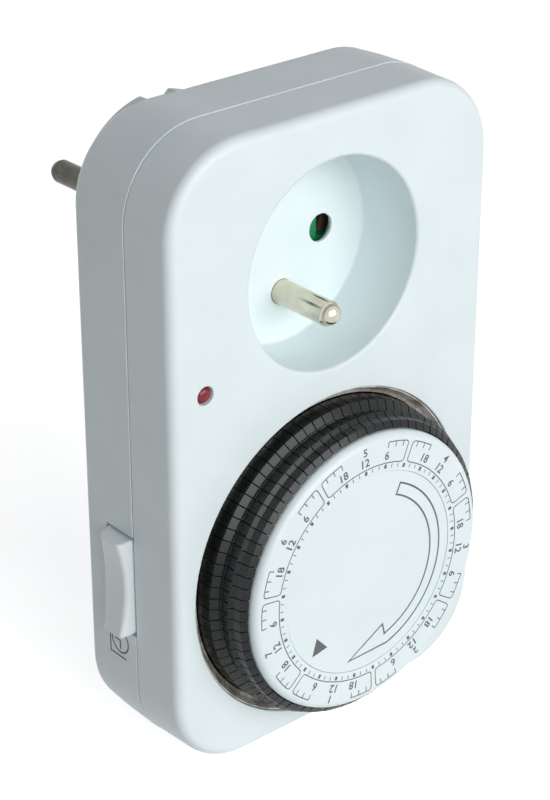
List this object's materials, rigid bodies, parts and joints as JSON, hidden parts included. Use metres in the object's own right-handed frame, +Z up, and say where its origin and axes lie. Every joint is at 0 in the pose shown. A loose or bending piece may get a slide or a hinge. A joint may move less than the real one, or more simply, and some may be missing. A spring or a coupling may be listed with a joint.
{
  "type": "plug-in timer switch",
  "caption": "Mechanical plug-in timer: socket well with earth pin and lamp above a weekly dial ringed by push-in tappets, a side rocker, and a plug boss with its pins on the back.",
  "frame": {"origin": "middle of the plug's flat end face, between its two line pins", "axes": "+Y into the wall outlet, along the pins; the socket and the dial face -Y; +Z up, from the dial towards the socket"},
  "size_m": [0.0793, 0.0813, 0.1242],
  "materials": {
    "white_plastic": "fine satin moulded",
    "ivory_plastic": "smooth satin moulded, printed",
    "black_plastic": "satin moulded",
    "bright_trim": "bright plated",
    "nickel_pins": "nickel plated, turned",
    "brass_strip": "rolled",
    "copper_strip": "spring bronze, rolled",
    "steel": "zinc plated",
    "acetal": "natural acetal",
    "ferrite": "plastic-bonded magnet",
    "green_plastic": "moulded",
    "phenolic": "moulded phenolic",
    "red_lens": "clear dark red",
    "lamp_glass": "clear glass",
    "winding": "enamelled copper wire"
  },
  "bodies": {
    "case": {"front_cover": "white_plastic", "rear_cover": "white_plastic", "bezel_ring": "bright_trim", "guard_ring": "black_plastic", "centre_disc": "ivory_plastic", "centre_post": "acetal", "movement_plate": "steel", "first_axle": "steel", "second_axle": "steel", "motor_cup": "steel", "motor_coil": "winding", "lever_pin": "steel", "switch_base": "phenolic", "fixed_contact": "brass_strip", "rocker_pin": "steel", "detent_spring": "steel", "plug_pin_left": "nickel_pins", "plug_pin_right": "nickel_pins", "pin_carrier": "phenolic", "contact_left": "copper_strip", "contact_right": "copper_strip", "contact_holder": "phenolic", "earth_pin": "nickel_pins", "earth_receptacle": "brass_strip", "shutter_spring": "steel", "neutral_bar": "brass_strip", "live_bar_in": "brass_strip", "live_bar_out": "brass_strip", "lamp_lens": "red_lens", "neon_lamp": "lamp_glass", "lamp_resistor": "acetal", "case_screw_1": "steel", "case_screw_2": "steel", "case_screw_3": "steel", "case_screw_4": "steel", "plate_screw_1": "steel", "plate_screw_2": "steel"},
    "dial": {"dial_drum": "black_plastic", "scale_ring": "ivory_plastic", "tappet_ring": "black_plastic"},
    "second_wheel": {"second_wheel": "acetal"},
    "first_wheel": {"first_wheel": "acetal"},
    "rotor": {"motor_rotor": "ferrite"},
    "rocker": {"rocker_button": "white_plastic"},
    "lever": {"trip_lever": "acetal"},
    "blade": {"contact_blade": "copper_strip"},
    "shutter": {"shutter": "green_plastic"},
    "tappet_01": {"tappet_01": "black_plastic"},
    "tappet_02": {"tappet_02": "black_plastic"},
    "tappet_03": {"tappet_03": "black_plastic"},
    "tappet_04": {"tappet_04": "black_plastic"},
    "tappet_05": {"tappet_05": "black_plastic"},
    "tappet_06": {"tappet_06": "black_plastic"},
    "tappet_07": {"tappet_07": "black_plastic"},
    "tappet_08": {"tappet_08": "black_plastic"},
    "tappet_09": {"tappet_09": "black_plastic"},
    "tappet_10": {"tappet_10": "black_plastic"},
    "tappet_11": {"tappet_11": "black_plastic"},
    "tappet_12": {"tappet_12": "black_plastic"}
  },
  "joints": [
    {"name": "dial_turn", "type": "hinge", "parent": "case", "child": "dial", "pos_m": [0, -0.045, -0.0586], "axis": [0, 1, 0], "continuous": true},
    {"name": "second_wheel_turn", "type": "hinge", "parent": "case", "child": "second_wheel", "pos_m": [0.02138, -0.039, -0.06638], "axis": [0, 1, 0], "continuous": true},
    {"name": "first_wheel_turn", "type": "hinge", "parent": "case", "child": "first_wheel", "pos_m": [0.01467, -0.0375, -0.07633], "axis": [0, 1, 0], "continuous": true},
    {"name": "rotor_turn", "type": "hinge", "parent": "case", "child": "rotor", "pos_m": [0.00267, -0.035, -0.07633], "axis": [0, 1, 0], "continuous": true},
    {"name": "rocker_tilt", "type": "hinge", "parent": "case", "child": "rocker", "pos_m": [-0.0344, -0.036, -0.057], "axis": [0, 1, 0], "range_deg": [-6, 6]},
    {"name": "lever_swing", "type": "hinge", "parent": "case", "child": "lever", "pos_m": [-0.00707, -0.0383, -0.07845], "axis": [0, 0, -1], "range_deg": [0, 2.8], "stiffness_Nm_per_rad": 0.04, "springref_deg": -2.86},
    {"name": "blade_bend", "type": "hinge", "parent": "case", "child": "blade", "pos_m": [-0.013, -0.0342, -0.07845], "axis": [0, 0, -1], "range_deg": [0, 4.75]},
    {"name": "shutter_slide", "type": "slide", "parent": "case", "child": "shutter", "axis": [-1, 0, 0], "range_m": [0, 0.0039], "stiffness_N_per_m": 100, "springref_m": -0.003, "deforming": ["shutter_spring"]},
    {"name": "tappet_01_press", "type": "slide", "parent": "dial", "child": "tappet_01", "axis": [0, 1, 0], "range_m": [0, 0.003]},
    {"name": "tappet_02_press", "type": "slide", "parent": "dial", "child": "tappet_02", "axis": [0, 1, 0], "range_m": [0, 0.003]},
    {"name": "tappet_03_press", "type": "slide", "parent": "dial", "child": "tappet_03", "axis": [0, 1, 0], "range_m": [0, 0.003]},
    {"name": "tappet_04_press", "type": "slide", "parent": "dial", "child": "tappet_04", "axis": [0, 1, 0], "range_m": [0, 0.003]},
    {"name": "tappet_05_press", "type": "slide", "parent": "dial", "child": "tappet_05", "axis": [0, 1, 0], "range_m": [0, 0.003]},
    {"name": "tappet_06_press", "type": "slide", "parent": "dial", "child": "tappet_06", "axis": [0, 1, 0], "range_m": [0, 0.003]},
    {"name": "tappet_07_press", "type": "slide", "parent": "dial", "child": "tappet_07", "axis": [0, 1, 0], "range_m": [0, 0.003]},
    {"name": "tappet_08_press", "type": "slide", "parent": "dial", "child": "tappet_08", "axis": [0, 1, 0], "range_m": [0, 0.003]},
    {"name": "tappet_09_press", "type": "slide", "parent": "dial", "child": "tappet_09", "axis": [0, 1, 0], "range_m": [0, 0.003]},
    {"name": "tappet_10_press", "type": "slide", "parent": "dial", "child": "tappet_10", "axis": [0, 1, 0], "range_m": [0, 0.003]},
    {"name": "tappet_11_press", "type": "slide", "parent": "dial", "child": "tappet_11", "axis": [0, 1, 0], "range_m": [0, 0.003]},
    {"name": "tappet_12_press", "type": "slide", "parent": "dial", "child": "tappet_12", "axis": [0, 1, 0], "range_m": [0, 0.003]}
  ],
  "couplings": [
    {"joint": "second_wheel_turn", "follows": "dial_turn", "ratio": -6},
    {"joint": "first_wheel_turn", "follows": "dial_turn", "ratio": 18},
    {"joint": "rotor_turn", "follows": "dial_turn", "ratio": -54},
    {"joint": "blade_bend", "follows": "lever_swing", "ratio": 1.68}
  ]
}
